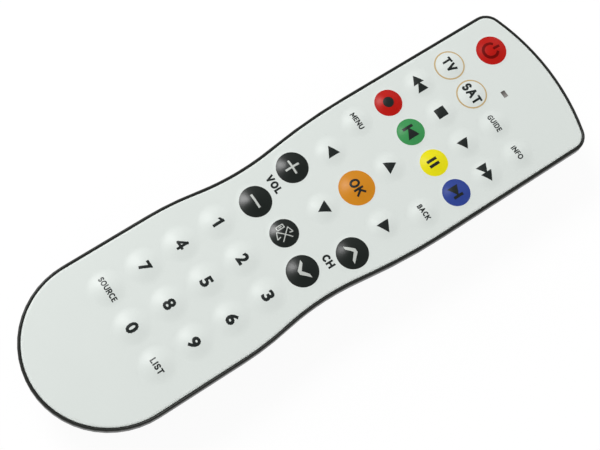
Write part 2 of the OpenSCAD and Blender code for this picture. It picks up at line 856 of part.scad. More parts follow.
module case_screws() {
    slot_half = 1.3;
    color(STEEL)
    for (y = [tail_screw_y, screw_y])
        difference() {
            union() {
                rod(0, y, head_z - head_h, head_z, screw_head_r);
                rod(0, y, head_z - 0.2, head_z + screw_l - tip_h, screw_r);
                translate([0, y, head_z + screw_l - tip_h])
                    cylinder(r1 = screw_r, r2 = 0.3, h = tip_h);
            }
            for (turn = [0, 90])
                translate([0, y, head_z - head_h])
                rotate(turn)
                    box([-slot_half, -0.3, -1], [slot_half, 0.3, 0.9]);
        }
}

rear_shell();
front_frame();
keypad_skin();
battery_cover();
infrared_window();
circuit_board();
controller_chip();
memory_chip();
crystal();
capacitor();
transistor();
chip_resistors();
infrared_emitter();
indicator_light();
light_pipe();
positive_contact();
negative_contact();
bridge_contact();
cell_left();
cell_right();
case_screws();
for (k = KEYS) key(k);
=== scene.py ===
# %% [markdown]
# # A universal remote control
# The real object is a slim infrared remote: a black case in two halves, one white silicone sheet with
# 37 domed keys moulded in it, a battery cover that slides off at the tail, two cells and a circuit
# board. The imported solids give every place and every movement. This lesson rebuilds the surfaces that
# the eye rests on, the soft sheet, its domes and the ink on them, and gives each solid that stays its
# own finish.

# %% Load the frame
import math
from collections import Counter

import bmesh
import bpy
import numpy as np
from mathutils import Matrix, Vector
from mathutils.geometry import delaunay_2d_cdt


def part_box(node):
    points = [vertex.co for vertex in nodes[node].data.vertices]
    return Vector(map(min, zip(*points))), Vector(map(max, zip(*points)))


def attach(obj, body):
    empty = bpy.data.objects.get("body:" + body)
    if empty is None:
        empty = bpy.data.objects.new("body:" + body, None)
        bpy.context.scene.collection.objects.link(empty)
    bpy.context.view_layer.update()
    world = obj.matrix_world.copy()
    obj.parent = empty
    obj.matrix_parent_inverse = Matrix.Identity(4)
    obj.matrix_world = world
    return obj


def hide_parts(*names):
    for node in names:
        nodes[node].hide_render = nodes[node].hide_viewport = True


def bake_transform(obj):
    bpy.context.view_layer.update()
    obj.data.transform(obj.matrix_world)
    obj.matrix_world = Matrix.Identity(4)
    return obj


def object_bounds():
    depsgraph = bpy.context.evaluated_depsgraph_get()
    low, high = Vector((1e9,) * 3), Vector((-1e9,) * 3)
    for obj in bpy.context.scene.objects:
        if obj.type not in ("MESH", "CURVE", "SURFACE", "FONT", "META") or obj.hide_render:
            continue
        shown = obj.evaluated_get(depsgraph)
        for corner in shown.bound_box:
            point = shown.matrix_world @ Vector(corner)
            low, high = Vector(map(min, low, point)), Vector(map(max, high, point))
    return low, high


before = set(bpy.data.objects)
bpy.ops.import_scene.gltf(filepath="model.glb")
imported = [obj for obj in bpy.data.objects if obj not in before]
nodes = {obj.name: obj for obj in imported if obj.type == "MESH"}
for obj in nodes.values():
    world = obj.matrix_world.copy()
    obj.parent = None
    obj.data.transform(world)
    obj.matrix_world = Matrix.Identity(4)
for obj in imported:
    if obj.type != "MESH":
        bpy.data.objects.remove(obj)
cad_low, cad_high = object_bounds()
MM = 0.001
print("solids:", len(nodes), "box in mm:", [round(v / MM, 2) for v in cad_high - cad_low])

# %% [markdown]
# ## Camera
# The photograph was taken from above the keys with a longish lens. Its place comes from matching the
# outline and the key centres of the solids with the picture, so the camera is set from three things:
# where it stands, the point of the keypad that it looks at, and how far it is rolled round that line.

# %% Camera
IMAGE_W = 600
FOCAL_PX = 1397.0
SENSOR_W = 36
camera_at = Vector((82.91, -104.99, 380.89)) * MM
camera_aim = Vector((0.589, -2.268, 18.1)) * MM
CAMERA_ROLL = math.radians(17.812)

camera_data = bpy.data.cameras.new("photo_camera")
camera_data.sensor_width = SENSOR_W
camera_data.lens = SENSOR_W * FOCAL_PX / IMAGE_W
camera = bpy.data.objects.new("photo_camera", camera_data)
bpy.context.scene.collection.objects.link(camera)
bpy.context.scene.camera = camera
turn = (camera_aim - camera_at).to_track_quat("-Z", "Y").to_matrix().to_4x4()
camera.matrix_world = Matrix.Translation(camera_at) @ turn @ Matrix.Rotation(CAMERA_ROLL, 4, "Z")
bpy.context.scene.view_settings.view_transform = "Standard"
print("lens in mm:", round(camera_data.lens, 2))

# %% [markdown]
# ## Tools for the finishes
# Colours are written as sRGB hex values, the numbers that a colour picker shows, and one function turns
# them to the linear values that the renderer works with. A second small function adds a shader node
# with its settings and links. Every finish below is built with these two, and the last function puts a
# finish on a solid that stays.

# %% Colour and node helpers
# The colour sockets of a Mix node go by number, because their names serve every kind of value.
FACTOR, COLOUR_A, COLOUR_B, MIXED = 0, 6, 7, 2


def srgb(code):
    """The linear colour of an sRGB hex value, by the curve of the sRGB standard."""
    parts = [int(code[i:i + 2], 16) / 255 for i in (0, 2, 4)]
    linear = [p / 12.92 if p <= 0.04045 else ((p + 0.055) / 1.055) ** 2.4 for p in parts]
    return (*linear, 1)


def add(tree, kind, props=None, values=None, links=None):
    """A node with its properties, socket values and incoming links. A plain kind is a shader node."""
    node = tree.nodes.new(kind if "Node" in kind else "ShaderNode" + kind)
    for key, value in (props or {}).items():
        setattr(node, key, value)
    for key, value in (values or {}).items():
        node.inputs[key].default_value = value
    for key, source in (links or {}).items():
        tree.links.new(source, node.inputs[key])
    return node


def new_finish(name, **sockets):
    """An empty material and its shader, with the sockets that are the same all over."""
    material = bpy.data.materials.new(name)
    material.use_nodes = True
    tree = material.node_tree
    shader = tree.nodes["Principled BSDF"]
    for key, value in sockets.items():
        shader.inputs[key.replace("_", " ")].default_value = value
    place = add(tree, "TexCoord").outputs["Object"]
    return material, tree, shader, place


def dress(name, finish):
    """Gives a solid that stays its finish."""
    slots = nodes[name].data.materials
    slots.clear()
    slots.append(finish)


print("helpers ready")

# %% [markdown]
# ## Finishes: the silicone
# The sheet is white silicone rubber, pressed in a heated mould with a fine blasted texture and sprayed
# with a clear hard coat. That gives the eye a soft satin white with a broad, weak highlight and hardly
# any visible grain. The real blasted texture is about 0.05 mm, too fine to show, so it is drawn at 0.3
# mm. One flat colour would look dead, so the tone drifts a little over wide patches. Most finishes of
# this remote are made in the same way, two close tones and a grain, so one function makes them.

# %% White silicone
MOULD_GRAIN = 0.3 * MM
COATED_DEPTH = 0.001 * MM
CLOUD = 16 * MM


def cloudy_colour(tree, shader, place, tones, size):
    """Lets the colour drift between two close tones over patches of the given size."""
    cloud = add(tree, "TexNoise", None, {"Scale": 1 / size, "Detail": 3}, {"Vector": place})
    tone = add(tree, "Mix", {"data_type": "RGBA"},
               {COLOUR_A: srgb(tones[0]), COLOUR_B: srgb(tones[1])}, {FACTOR: cloud.outputs["Fac"]})
    tree.links.new(tone.outputs[MIXED], shader.inputs["Base Color"])


def grain(tree, shader, place, size, depth, rough):
    """Gives the surface a grain: a shallow bump, and a roughness between two values that follows it."""
    noise = add(tree, "TexNoise", None, {"Scale": 1 / size, "Detail": 2}, {"Vector": place})
    bump = add(tree, "Bump", None, {"Strength": 1, "Distance": depth}, {"Height": noise.outputs["Fac"]})
    sheen = add(tree, "MapRange", None, {"To Min": rough[0], "To Max": rough[1]},
                {"Value": noise.outputs["Fac"]})
    tree.links.new(bump.outputs["Normal"], shader.inputs["Normal"])
    tree.links.new(sheen.outputs["Result"], shader.inputs["Roughness"])


def plain_finish(name, tones, patch, size, depth, rough, **sockets):
    """A finish that is the same all over: two close tones in patches, and a grain."""
    material, tree, shader, place = new_finish(name, **sockets)
    cloudy_colour(tree, shader, place, tones, patch)
    grain(tree, shader, place, size, depth, rough)
    return material


white_silicone = plain_finish("white_silicone_pressed_and_sprayed", ("e1e7e3", "dee4e0"), patch=CLOUD,
                              size=MOULD_GRAIN, depth=COATED_DEPTH, rough=(0.31, 0.36),
                              IOR=1.41, Specular_IOR_Level=0.26)
print("finish:", white_silicone.name)

# %% [markdown]
# ## Finishes: the inks
# Signs and coloured keys are screen printed: a rubber blade presses ink through a fine mesh, which
# leaves a thin film, a little uneven in tone. To the eye it is slightly glossier than the rubber, most
# of all the deep black of the volume and channel keys, and only the dark red is dull. The inks differ
# in tone and gloss alone, so a loop makes them from two lists.

# %% Inks
INK_PATCH = 2.5 * MM
INK_TONES = {
    "black": ("1a201f", "222725"),
    "jet": ("07130d", "050f0a"),
    "white": ("c9cdc8", "bec2bd"),
    "red": ("c01204", "b20a02"),
    "dark_red": ("6c0402", "740502"),
    "green": ("3d9754", "388f50"),
    "yellow": ("eee50c", "e8dd08"),
    "blue": ("304798", "2b408e"),
    "orange": ("d88b14", "ce830f"),
    "tan": ("c0a676", "cbb285"),
}
COMMON_GLOSS = (0.3, (0.3, 0.36))
INK_GLOSS = {
    "jet": (0.6, (0.28, 0.32)),
    "white": (0.5, (0.4, 0.46)),
    "orange": (0.42, (0.3, 0.36)),
    "dark_red": (0.1, (0.4, 0.46)),
}
inks = {}
for tone, shades in INK_TONES.items():
    gloss, rough = INK_GLOSS.get(tone, COMMON_GLOSS)
    inks[tone] = plain_finish("screen_printed_" + tone + "_ink", shades, patch=INK_PATCH, size=MOULD_GRAIN,
                              depth=COATED_DEPTH, rough=rough, IOR=1.5, Specular_IOR_Level=gloss)
print("inks:", ", ".join(inks))

# %% [markdown]
# ## The case outline
# Seen from above, the case is one smooth line of arcs: a round tail, a swell, a hollow waist, another
# swell, small corners and a flat arc at the infrared end. It could be traced point by point, but arcs
# stay smooth at any inset, and the same arcs give the sheet's edge and its roll, so they always run
# parallel.

# %% Outline of arcs
BODY_L = (cad_high.y - cad_low.y) / MM
HEAD_HALF = (cad_high.x - cad_low.x) / MM / 2
TAIL_R = 24.4
WAIST_HALF = 22.0
WAIST_FROM_TAIL = 79.4
WAIST_Y = -BODY_L / 2 + WAIST_FROM_TAIL
WAIST_R = 80.0
TAIL_SWELL_R = 88.0
HEAD_SWELL_R = 190.0
END_R = 67.0
CORNER_R = 5.4
CORNER_LEAST = 4.0
ARC_STEPS = {"tail": 48, "tail_swell": 8, "waist": 20, "head_swell": 12, "corner": 18, "end": 20}
QUARTER = math.pi / 2


def arc(centre, radius, start, end, steps):
    """Points along an arc in mm, angles in radians, both ends included."""
    turns = np.linspace(start, end, steps + 1)
    return [(centre[0] + radius * math.cos(a), centre[1] + radius * math.sin(a)) for a in turns]


def outline(inset):
    """The closed outline of the case in mm, set in by inset, anticlockwise from the tail's tip."""
    low_sum = WAIST_R + TAIL_SWELL_R
    high_sum = WAIST_R + HEAD_SWELL_R
    low_lean = math.acos(1 - (TAIL_R - WAIST_HALF) / low_sum)
    high_lean = math.acos(1 - (HEAD_HALF - WAIST_HALF) / high_sum)
    low = (TAIL_R - TAIL_SWELL_R, WAIST_Y - low_sum * math.sin(low_lean))
    high = (HEAD_HALF - HEAD_SWELL_R, WAIST_Y + high_sum * math.sin(high_lean))
    waist = (WAIST_HALF + WAIST_R, WAIST_Y)
    corner = max(CORNER_R - inset, CORNER_LEAST)
    end_y = BODY_L / 2 - END_R
    corner_x = HEAD_HALF - inset - corner
    corner_y = end_y + math.sqrt((END_R - inset - corner) ** 2 - corner_x ** 2)
    corner_a = math.atan2(corner_y - end_y, corner_x)
    half = arc((0, -BODY_L / 2 + TAIL_R), TAIL_R - inset, -QUARTER, 0, ARC_STEPS["tail"])
    half += arc(low, TAIL_SWELL_R - inset, 0, low_lean, ARC_STEPS["tail_swell"])
    half += arc(waist, WAIST_R + inset, math.pi + low_lean, math.pi - high_lean, ARC_STEPS["waist"])[1:]
    half += arc(high, HEAD_SWELL_R - inset, -high_lean, 0, ARC_STEPS["head_swell"])[1:]
    half += arc((corner_x, corner_y), corner, 0, corner_a, ARC_STEPS["corner"])
    half += arc((0, end_y), END_R - inset, corner_a, QUARTER, ARC_STEPS["end"])[1:]
    return half + [(-x, y) for x, y in half[-2:0:-1]]


print("outline points:", len(outline(0)), "waist in mm:", 2 * WAIST_HALF)

# %% [markdown]
# ## Building solids from rings
# Most pieces here are rings of points joined by a skin: an outline that moves in and up, or a circle
# that grows. The builder below collects such rings and flat fillings, welds the shared points and makes
# one closed mesh. Edges that turn by more than a set angle stay crisp, and the rest is shaded smooth.

# %% Solid builder
SAME_POINT = 0.0005 * MM
SLIVER = 0.0002 * MM
FILL_SLACK = 1e-6
CRISP_FOLD = math.radians(35)


class Solid:
    """Collects rings and flat fillings in mm, and makes one welded mesh of them."""

    def __init__(self):
        self.points = []
        self.faces = []
        self.inks = []

    def ring(self, flat, z):
        """Adds a closed ring, at one height or draped on a function, and returns its points' numbers."""
        first = len(self.points)
        self.points += [(x, y, z(x, y) if callable(z) else z) for x, y in flat]
        return list(range(first, len(self.points)))

    def face(self, numbers, ink=0):
        """Adds one face, with the number of its finish."""
        self.faces.append(list(numbers))
        self.inks.append(ink)

    def skin(self, lower, upper, ink=0):
        """Joins two rings of the same count with quads."""
        count = len(lower)
        for i in range(count):
            j = (i + 1) % count
            self.face((lower[i], lower[j], upper[j], upper[i]), ink)

    def fan(self, ring, point, ink=0):
        """Closes a ring with triangles to one point."""
        tip = len(self.points)
        self.points.append(point)
        for i in range(len(ring)):
            self.face((ring[i], ring[(i + 1) % len(ring)], tip), ink)

    def fill(self, loops, z, upwards):
        """Fills the flat area inside the first loop and outside the others, which are convex openings."""
        flat = [Vector(p) for loop in loops for p in loop]
        owner = [number for number, loop in enumerate(loops) for p in loop]
        edges = []
        for loop in loops:
            first = len(edges)
            edges += [(first + i, first + (i + 1) % len(loop)) for i in range(len(loop))]
        points, _, tris, sources, _, _ = delaunay_2d_cdt(flat, edges, [], 1, FILL_SLACK)
        start = len(self.points)
        self.points += [(p.x, p.y, z) for p in points]
        for tri in tris:
            owners = {owner[sources[i][0]] for i in tri}
            if len(owners) > 1 or owners == {0}:
                self.face([start + i for i in (tri if upwards else tri[::-1])])

    def make(self, name, finishes):
        """Welds, drops loose points, turns all faces outwards and returns the new piece."""
        mesh = bpy.data.meshes.new(name)
        mesh.from_pydata([(x * MM, y * MM, z * MM) for x, y, z in self.points], [], self.faces)
        for polygon, ink in zip(mesh.polygons, self.inks):
            polygon.material_index = ink
        work = bmesh.new()
        work.from_mesh(mesh)
        bmesh.ops.remove_doubles(work, verts=work.verts, dist=SAME_POINT)
        bmesh.ops.dissolve_degenerate(work, edges=work.edges, dist=SLIVER)
        bmesh.ops.delete(work, geom=[v for v in work.verts if not v.link_faces], context="VERTS")
        bmesh.ops.recalc_face_normals(work, faces=work.faces)
        work.to_mesh(mesh)
        work.free()
        mesh.shade_smooth()
        mesh.set_sharp_from_angle(angle=CRISP_FOLD)
        for finish in finishes:
            mesh.materials.append(finish)
        piece = bpy.data.objects.new(name, mesh)
        bpy.context.scene.collection.objects.link(piece)
        return piece


def circle(x, y, radius, count):
    """A round loop of points in mm."""
    turns = [2 * math.pi * i / count for i in range(count)]
    return [(x + radius * math.cos(a), y + radius * math.sin(a)) for a in turns]


print("solid builder ready")

# %% [markdown]
# ## Measures from the frame
# The key centres and radii are read from the solids, and so are the heights of the sheet. A key's dome
# stands on the sheet's flat top, and the ink on its crown is the highest point of the object. The
# rubber rises towards a dome well before the key itself begins, so each dome gets a wider foot. The two
# mode keys and the OK key have less room beside them, so their feet are set one by one.

# %% Heights and key places
sheet_low, sheet_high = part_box("keypad_skin")
SEAT_Z = sheet_low.z / MM
SKIN_TOP = sheet_high.z / MM
INK_LIFT = 0.02
DOME_H = cad_high.z / MM - SKIN_TOP - INK_LIFT
SKIN_IN = (cad_high.x - sheet_high.x) / MM

keys = {}
for name in sorted(nodes):
    if name.startswith("key_"):
        low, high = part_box(name)
        keys[name] = ((low.x + high.x) / 2 / MM, (low.y + high.y) / 2 / MM, (high.x - low.x) / 2 / MM)
FOOT_SPREAD = 1.26
foot_r = {name: FOOT_SPREAD * r for name, (x, y, r) in keys.items()}
foot_r.update(key_tv=5.4, key_sat=5.4, key_ok=6.25)
print("keys:", len(keys), "sheet top", round(SKIN_TOP, 2), "dome height", round(DOME_H, 2))

# %% [markdown]
# ## The silicone sheet
# The real sheet is one moulding with the domes in it. It could be one mesh with all domes raised, but
# each dome has to sink by itself, so the sheet is made with a round opening for every dome, and each
# dome is a piece of its own whose foot meets the opening point for point. The sheet's edge rolls over
# to the rim, and a narrow flat strip inside the roll keeps its shading off the large flat face.

# %% Keypad sheet
SKIN_ROUND = 0.6
ROLL_STEPS = 8
ROLL_STRIP = 0.15
ROUND_STEPS = 72
PIPE_HALF = (1.05, 0.7)
pipe_low, pipe_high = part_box("light_pipe")
PIPE_X = (pipe_low.x + pipe_high.x) / 2 / MM
PIPE_Y = (pipe_low.y + pipe_high.y) / 2 / MM

sheet = Solid()
edge = [(SKIN_IN, SEAT_Z)]
for i in range(ROLL_STEPS + 1):
    a = math.pi - i * QUARTER / ROLL_STEPS
    edge.append((SKIN_IN + SKIN_ROUND * (1 + math.cos(a)), SKIN_TOP - SKIN_ROUND * (1 - math.sin(a))))
edge.append((SKIN_IN + SKIN_ROUND + ROLL_STRIP, SKIN_TOP))
rings = [sheet.ring(outline(inset), z) for inset, z in edge]
for lower, upper in zip(rings, rings[1:]):
    sheet.skin(lower, upper)
holes = [circle(x, y, foot_r[key], ROUND_STEPS) for key, (x, y, r) in keys.items()]
holes.append([(PIPE_X + sx * PIPE_HALF[0], PIPE_Y + sy * PIPE_HALF[1])
              for sx, sy in ((-1, -1), (1, -1), (1, 1), (-1, 1))])
sheet.fill([outline(edge[-1][0])] + holes, SKIN_TOP, True)
sheet.fill([outline(edge[0][0])] + holes, SEAT_Z, False)
for hole in holes:
    sheet.skin(sheet.ring(hole, SEAT_Z), sheet.ring(hole, SKIN_TOP))
keypad_sheet = sheet.make("keypad_sheet", [white_silicone])
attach(keypad_sheet, "case")
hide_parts("keypad_skin")
print("sheet faces:", len(keypad_sheet.data.polygons))

# %% [markdown]
# ## The shape of a dome
# Each key is a low round swell that leaves the sheet without a crease, is steepest about half way out
# and rounds off to a soft crown. One formula gives its height at any place, for the dome itself and for
# the ink on it. When a key is pressed the rubber gives way: the crown sinks and the foot stays with the
# sheet.

# %% Dome shape
DOME_FALL = 2.3


def on_dome(key):
    """The height of a key's dome in mm, as a function of the place."""
    x, y = keys[key][:2]

    def height(px, py):
        share = min(1, math.hypot(px - x, py - y) / foot_r[key])
        return SKIN_TOP + DOME_H * (1 - share * share) ** DOME_FALL

    return height


def sink(piece):
    """Bakes the piece's placement into its mesh."""
    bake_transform(piece)


x, y, r = keys["key_5"]
print("height at the edge of key 5 in mm:", round(on_dome("key_5")(x + r, y) - SKIN_TOP, 2))

# %% [markdown]
# ## The domes
# Rings round the key's axis, lifted to the formula's height, give the dome. Coloured keys are printed
# all over, and the two mode keys carry a thin ring. The printing screen never lines up exactly with the
# moulding, so these rounds lie a little off their domes, by the shifts listed in mm. The rings follow
# the shift, fully inside the print and less and less towards the foot, so the print's border is a clean
# edge.

# %% Domes
DOME_INK = {
    "key_power": "red", "key_record": "red", "key_previous": "green", "key_pause": "yellow",
    "key_next": "blue", "key_ok": "orange", "key_volume_up": "jet", "key_volume_down": "jet",
    "key_mute": "jet", "key_channel_up": "jet", "key_channel_down": "jet",
}
MODE_RING = {"key_tv": (4.12, 4.56), "key_sat": (4.12, 4.56)}
PRINT_SHIFT = {
    "key_power": (0.13, -0.2), "key_tv": (0.04, -0.16), "key_sat": (-0.15, -0.03),
    "key_record": (0.22, -0.21), "key_pause": (0.2, 0.09), "key_next": (-0.09, 0.18),
    "key_ok": (0.11, -0.04), "key_mute": (0.25, 0.16), "key_volume_up": (0.33, 0.19),
    "key_volume_down": (0.18, 0.35), "key_channel_up": (0.27, 0.03), "key_channel_down": (0.13, -0.05),
}
DOME_RINGS = 24
HAIR = 1e-6

for key, (x, y, r) in keys.items():
    dome = Solid()
    ink = 1 if key in DOME_INK else 0
    print_in, print_out = MODE_RING.get(key, (0, r if ink else 0))
    shift_x, shift_y = PRINT_SHIFT.get(key, (0, 0))
    height = on_dome(key)
    reach = foot_r[key]
    radii = {reach * i / DOME_RINGS for i in range(1, DOME_RINGS + 1)} | ({print_in, print_out} - {0})
    rim = dome.ring(circle(x, y, reach, ROUND_STEPS), SKIN_TOP)
    foot = dome.ring(circle(x, y, reach, ROUND_STEPS), SEAT_Z)
    dome.skin(foot, rim)
    dome.fan(foot, (x, y, SEAT_Z))
    outer = rim
    for radius in sorted(radii, reverse=True)[1:]:
        part = min(1, (reach - radius) / (reach - print_out))
        inner = dome.ring(circle(x + part * shift_x, y + part * shift_y, radius, ROUND_STEPS), height)
        printed = print_in - HAIR < radius < print_out - HAIR
        dome.skin(outer, inner, 1 if printed else 0)
        outer = inner
    dome.fan(outer, (x + shift_x, y + shift_y, height(x + shift_x, y + shift_y)), ink)
    finishes = [white_silicone]
    if print_out:
        finishes.append(inks[DOME_INK.get(key, "tan")])
    piece = dome.make("dome_" + key.removeprefix("key_"), finishes)
    sink(piece)
    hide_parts(key)
print("domes:", len(keys), "coloured:", len(DOME_INK))

# %% [markdown]
# ## Plungers and contact pills
# Under every dome hangs a stub of the same rubber with a pill of silicone filled with carbon, which
# closes the contact on the board. The carbon makes the pill dull and black to the eye. Both are seen
# only when the remote is taken apart, so they are plain turned shapes, and they move with the key as a
# whole.

# %% Plungers
carbon_pill = plain_finish("carbon_loaded_silicone_pill", ("1c1c1d", "262627"), patch=0.8 * MM,
                           size=0.2 * MM, depth=0.004 * MM, rough=(0.6, 0.75), IOR=1.45)
PILL_R = 2.0
PILL_T = 0.3
PILL_LEVELS = 2
PLUNGER_IN = 1.0
STUB_EDGE = 0.1
STUB_STEPS = 36
for key, (x, y, r) in keys.items():
    pill_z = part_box(key)[0].z / MM
    stub_z = pill_z + PILL_T
    stub_r = r - PLUNGER_IN
    levels = [(PILL_R - STUB_EDGE, pill_z), (PILL_R, pill_z + STUB_EDGE), (PILL_R, stub_z),
              (stub_r - STUB_EDGE, stub_z), (stub_r, stub_z + STUB_EDGE), (stub_r, SEAT_Z)]
    stub = Solid()
    rings = [stub.ring(circle(x, y, radius, STUB_STEPS), z) for radius, z in levels]
    stub.fan(rings[0], (x, y, pill_z), 1)
    for i, (lower, upper) in enumerate(zip(rings, rings[1:])):
        stub.skin(lower, upper, 1 if i < PILL_LEVELS else 0)
    stub.fan(rings[-1], (x, y, SEAT_Z))
    piece = stub.make("plunger_" + key.removeprefix("key_"), [white_silicone, carbon_pill])
    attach(piece, key)
print("plungers:", len(keys))

# %% [markdown]
# ## Signs: laying ink on a dome
# Letters and symbols are screen printed on the domes. A flat sign would cut through the curved rubber,
# so each sign is cut into small triangles first, and every point is then lifted to the dome's height.
# The film is closed below and sits just above the rubber. A sign comes as convex shapes that may
# overlap, because it is easy to tell whether a point lies in one of those.

# %% Laying ink
INK_BELOW = 0.05
INK_STEP = 0.4
INK_SLACK = 1e-4
ON_EDGE = 1e-7
EDGE_DECIMALS = 4


def inside_any(points, shapes):
    """For each point, whether it lies in one of the convex shapes."""
    hit = np.zeros(len(points), bool)
    for shape in shapes:
        a = np.array(shape)
        b = np.roll(a, -1, 0)
        rel = points[:, None, :] - a[None]
        side = (b - a)[None, :, 0] * rel[..., 1] - (b - a)[None, :, 1] * rel[..., 0]
        hit |= (side >= -ON_EDGE).all(1) | (side <= ON_EDGE).all(1)
    return hit


def border(shapes):
    """The edges of the shapes that no neighbour shares."""
    seen = Counter()
    ends = {}
    for shape in shapes:
        for p, q in zip(shape, shape[1:] + shape[:1]):
            tag = frozenset((round(x, EDGE_DECIMALS), round(y, EDGE_DECIMALS)) for x, y in (p, q))
            seen[tag] += 1
            ends[tag] = (p, q)
    return [ends[tag] for tag, count in seen.items() if count == 1]


def lay_ink(name, shapes, height_at, ink):
    """A closed film of ink over the union of convex shapes, draped on height_at(x, y), all in mm."""
    flat = []
    edges = []
    for p, q in border(shapes):
        steps = max(1, math.ceil(math.dist(p, q) / INK_STEP))
        first = len(flat)
        flat += [(p[0] + (q[0] - p[0]) * i / steps, p[1] + (q[1] - p[1]) * i / steps)
                 for i in range(steps + 1)]
        edges += [(first + i, first + i + 1) for i in range(steps)]
    low = np.min(flat, 0)
    high = np.max(flat, 0)
    gx, gy = np.meshgrid(np.arange(low[0], high[0], INK_STEP), np.arange(low[1], high[1], INK_STEP))
    grid = np.stack([gx.ravel(), gy.ravel()], 1)
    flat += [tuple(p) for p in grid[inside_any(grid, shapes)]]
    made = delaunay_2d_cdt([Vector(p) for p in flat], edges, [], 0, INK_SLACK)
    points = np.array([tuple(p) for p in made[0]])
    tris = np.array([t for t in made[2] if len(t) == 3])
    tris = tris[inside_any(points[tris].mean(1), shapes)]
    film = Solid()
    count = len(points)
    film.points = [(px, py, height_at(px, py) + INK_LIFT) for px, py in points]
    film.points += [(px, py, height_at(px, py) - INK_BELOW) for px, py in points]
    sides = Counter()
    for a, b, c in tris.tolist():
        film.face((a, b, c))
        film.face((c + count, b + count, a + count))
        sides.update([(a, b), (b, c), (c, a)])
    for a, b in [side for side in sides if side[::-1] not in sides]:
        film.face((a + count, b + count, b, a))
    return film.make(name, [ink])


print("ink step in mm:", INK_STEP)

# %% [markdown]
# ## Shapes of the signs: strokes
# Most of the print is lines of one width. A line is laid as short bars along its path, and where it
# bends sharply each bar runs on a little past its end, so that the corner closes. Round parts are
# points along an ellipse.

# %% Strokes
def stroke(path, width, over=0):
    """Short bars along a path, each longer by over at both ends."""
    shapes = []
    for p, q in zip(path, path[1:]):
        run = Vector((q[0] - p[0], q[1] - p[1])).normalized()
        side = Vector((-run.y, run.x)) * width / 2
        p = Vector(p) - run * over
        q = Vector(q) + run * over
        shapes.append([tuple(p + side), tuple(p - side), tuple(q - side), tuple(q + side)])
    return shapes


def bow(x, y, across, up, start, end, steps=8):
    """Points along a part of an ellipse, angles in degrees."""
    turns = np.radians(np.linspace(start, end, steps + 1))
    return [(x + across * math.cos(a), y + up * math.sin(a)) for a in turns]


print("bars in a stroke of three points:", len(stroke([(0, 0), (1, 0), (1, 1)], 0.2)))

# %% [markdown]
# ## Shapes of the signs: digits
# Digits come from Blender's built-in font, scaled to the measured width and height. The font is light
# and the print is bold, so every edge gets a thin bar laid over it, which thickens the digit evenly.

# %% Digits from the font
CURVE_STEPS = 3


def digit(word, width, height, bold):
    """Shapes of a digit in the built-in font, thickened by bold on each side, scaled to a size in mm."""
    curve = bpy.data.curves.new("digit", "FONT")
    curve.body = word
    curve.resolution_u = CURVE_STEPS
    holder = bpy.data.objects.new("digit", curve)
    bpy.context.scene.collection.objects.link(holder)
    drawn = holder.evaluated_get(bpy.context.evaluated_depsgraph_get())
    mesh = drawn.to_mesh()
    mesh.calc_loop_triangles()
    points = np.array([v.co.to_tuple()[:2] for v in mesh.vertices])
    low, high = points.min(0), points.max(0)
    points = (points - (low + high) / 2) / (high - low) * (width - 2 * bold, height - 2 * bold)
    shapes = [[tuple(points[i]) for i in tri.vertices] for tri in mesh.loop_triangles]
    drawn.to_mesh_clear()
    bpy.data.objects.remove(holder)
    bpy.data.curves.remove(curve)
    edging = [stroke(edge, 2 * bold, bold) for edge in border(shapes)]
    return shapes + [shape for part in edging for shape in part]


# Key: the digit's middle from the key's middle in X and Y, width, height and thickening, all in mm.
DIGITS = {
    "2": (0.4, 0.03, 2.35, 3.67, 0.22),
    "3": (0.36, -0.05, 2.3, 3.68, 0.2),
    "5": (0.44, -0.1, 2.3, 3.68, 0.19),
    "6": (0.44, -0.05, 2.65, 3.67, 0.2),
    "7": (0.47, 0.05, 2.45, 3.52, 0.2),
    "8": (0.36, -0.14, 2.5, 3.7, 0.18),
    "9": (0.42, -0.35, 2.62, 3.65, 0.2),
    "0": (0.48, -0.2, 2.6, 3.68, 0.2),
}
digit_signs = {}
for key, (dx, dy, width, height, bold) in DIGITS.items():
    digit_signs[key] = (digit(key, width, height, bold), dx, dy, "black")
print("digits from the font:", len(digit_signs))

# %% [markdown]
# ## Shapes of the signs: letters
# Small words would clog if they were thickened, so their letters are drawn as strokes of one weight.
# Each letter has a width, compared with the others, and paths in a square of one by one.

